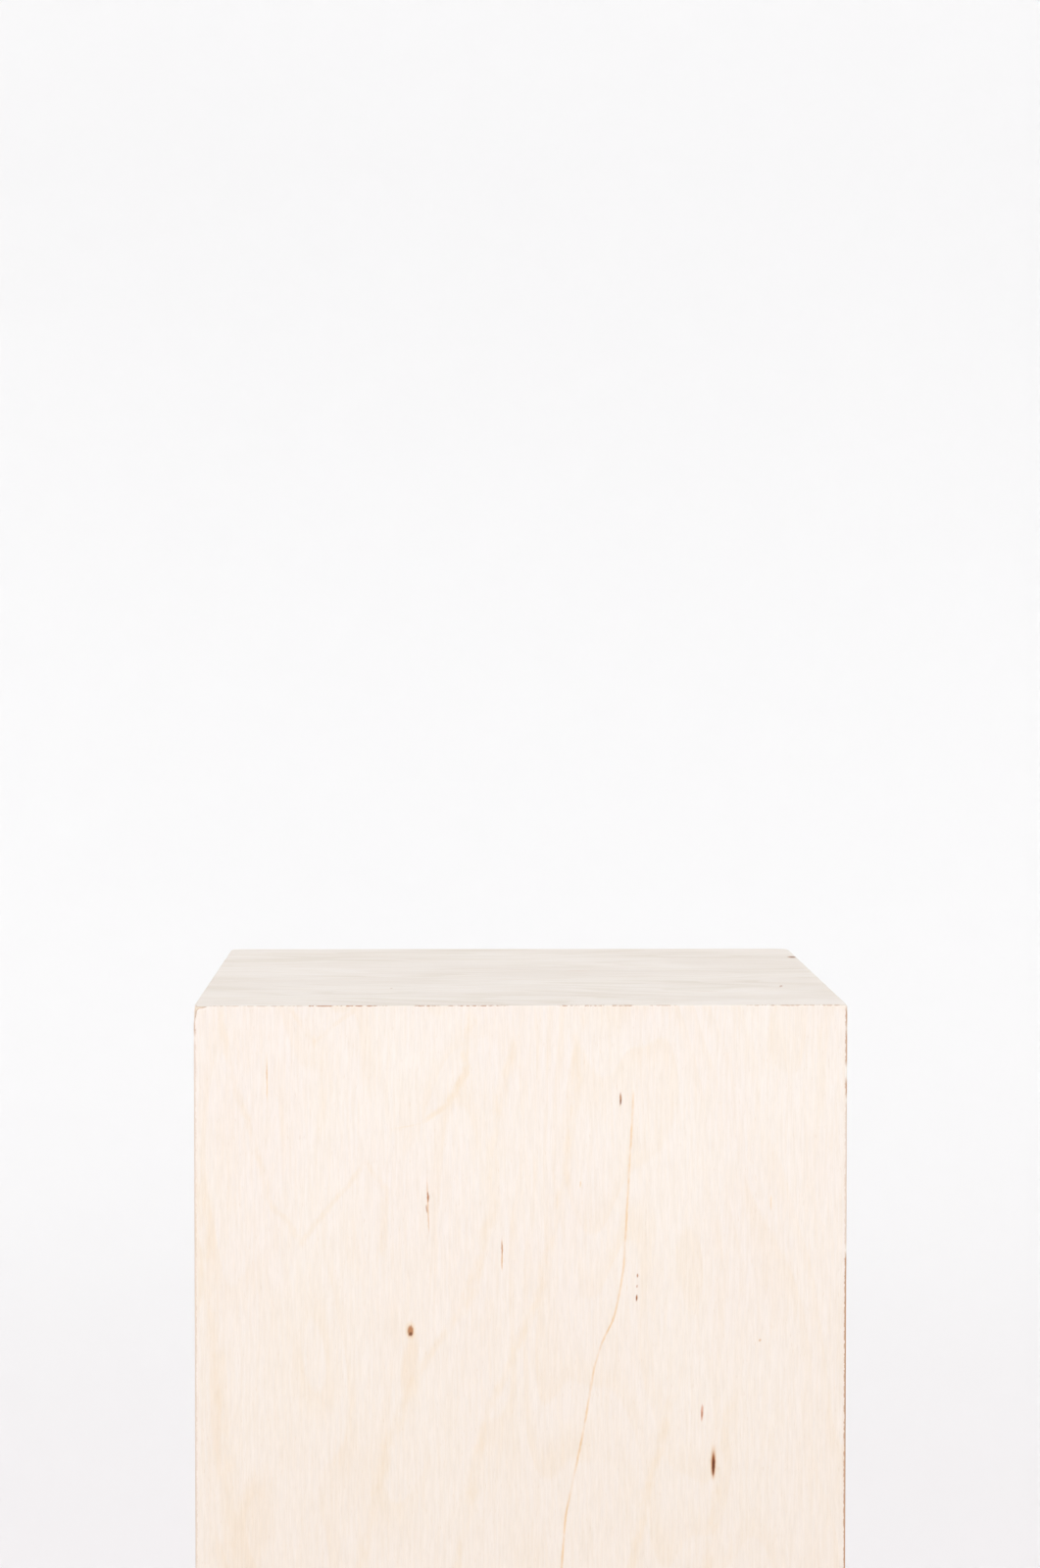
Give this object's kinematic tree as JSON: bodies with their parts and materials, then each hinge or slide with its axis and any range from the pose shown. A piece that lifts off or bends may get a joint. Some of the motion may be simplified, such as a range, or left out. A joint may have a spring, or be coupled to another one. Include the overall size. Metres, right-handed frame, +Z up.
{
  "type": "display plinth",
  "caption": "Tall square hollow plinth of mitred birch plywood with a closed flat top, an open base and levelling feet, for showing a small exhibit.",
  "frame": {"origin": "on the floor, under the middle of the case, with the levelling feet wound in", "axes": "+Z up to the display surface; the front wall faces -Y; +X to the right as seen from the front"},
  "size_m": [0.35, 0.35, 1.1],
  "materials": {
    "birch_plywood": "sanded, clear matt",
    "pine": "planed",
    "beech": "planed",
    "beech_biscuit": "pressed",
    "zinc_steel": "zinc plated",
    "zinc_screw": "yellow zinc plated",
    "nylon": "moulded",
    "rubber": "moulded"
  },
  "bodies": {
    "case": {"back_panel": "birch_plywood", "base_rail_back": "pine", "base_rail_front": "pine", "base_rail_left": "pine", "base_rail_right": "pine", "base_rail_screws": "zinc_screw", "biscuits_back_left": "beech_biscuit", "biscuits_back_right": "beech_biscuit", "biscuits_front_left": "beech_biscuit", "biscuits_front_right": "beech_biscuit", "biscuits_top_back": "beech_biscuit", "biscuits_top_front": "beech_biscuit", "biscuits_top_left": "beech_biscuit", "biscuits_top_right": "beech_biscuit", "foot_block_back_left": "beech", "foot_block_back_right": "beech", "foot_block_front_left": "beech", "foot_block_front_right": "beech", "foot_block_screws": "zinc_screw", "front_panel": "birch_plywood", "glue_block_back_left_lower": "pine", "glue_block_back_left_upper": "pine", "glue_block_back_right_lower": "pine", "glue_block_back_right_upper": "pine", "glue_block_front_left_lower": "pine", "glue_block_front_left_upper": "pine", "glue_block_front_right_lower": "pine", "glue_block_front_right_upper": "pine", "left_panel": "birch_plywood", "right_panel": "birch_plywood", "tee_nut_back_left": "zinc_steel", "tee_nut_back_right": "zinc_steel", "tee_nut_front_left": "zinc_steel", "tee_nut_front_right": "zinc_steel", "top_panel": "birch_plywood", "top_rail_back": "pine", "top_rail_front": "pine", "top_rail_left": "pine", "top_rail_right": "pine", "top_rail_screws": "zinc_screw"},
    "pad_front_right": {"foot_pad_front_right": "nylon", "foot_sole_front_right": "rubber"},
    "stud_front_right": {"foot_stud_front_right": "zinc_steel"},
    "pad_back_right": {"foot_pad_back_right": "nylon", "foot_sole_back_right": "rubber"},
    "stud_back_right": {"foot_stud_back_right": "zinc_steel"},
    "pad_back_left": {"foot_pad_back_left": "nylon", "foot_sole_back_left": "rubber"},
    "stud_back_left": {"foot_stud_back_left": "zinc_steel"},
    "pad_front_left": {"foot_pad_front_left": "nylon", "foot_sole_front_left": "rubber"},
    "stud_front_left": {"foot_stud_front_left": "zinc_steel"}
  },
  "joints": [
    {"name": "foot_travel_front_right", "type": "slide", "parent": "case", "child": "pad_front_right", "axis": [0, 0, -1], "range_m": [0, 0.015]},
    {"name": "foot_turn_front_right", "type": "hinge", "parent": "pad_front_right", "child": "stud_front_right", "pos_m": [0.13, -0.13, 0.011], "axis": [0, 0, -1], "range_deg": [0, 3600]},
    {"name": "foot_travel_back_right", "type": "slide", "parent": "case", "child": "pad_back_right", "axis": [0, 0, -1], "range_m": [0, 0.015]},
    {"name": "foot_turn_back_right", "type": "hinge", "parent": "pad_back_right", "child": "stud_back_right", "pos_m": [0.13, 0.13, 0.011], "axis": [0, 0, -1], "range_deg": [0, 3600]},
    {"name": "foot_travel_back_left", "type": "slide", "parent": "case", "child": "pad_back_left", "axis": [0, 0, -1], "range_m": [0, 0.015]},
    {"name": "foot_turn_back_left", "type": "hinge", "parent": "pad_back_left", "child": "stud_back_left", "pos_m": [-0.13, 0.13, 0.011], "axis": [0, 0, -1], "range_deg": [0, 3600]},
    {"name": "foot_travel_front_left", "type": "slide", "parent": "case", "child": "pad_front_left", "axis": [0, 0, -1], "range_m": [0, 0.015]},
    {"name": "foot_turn_front_left", "type": "hinge", "parent": "pad_front_left", "child": "stud_front_left", "pos_m": [-0.13, -0.13, 0.011], "axis": [0, 0, -1], "range_deg": [0, 3600]}
  ],
  "couplings": [
    {"joint": "foot_turn_front_right", "follows": "foot_travel_front_right", "rad_per_m": 4188.8},
    {"joint": "foot_turn_back_right", "follows": "foot_travel_back_right", "rad_per_m": 4188.8},
    {"joint": "foot_turn_back_left", "follows": "foot_travel_back_left", "rad_per_m": 4188.8},
    {"joint": "foot_turn_front_left", "follows": "foot_travel_front_left", "rad_per_m": 4188.8}
  ]
}
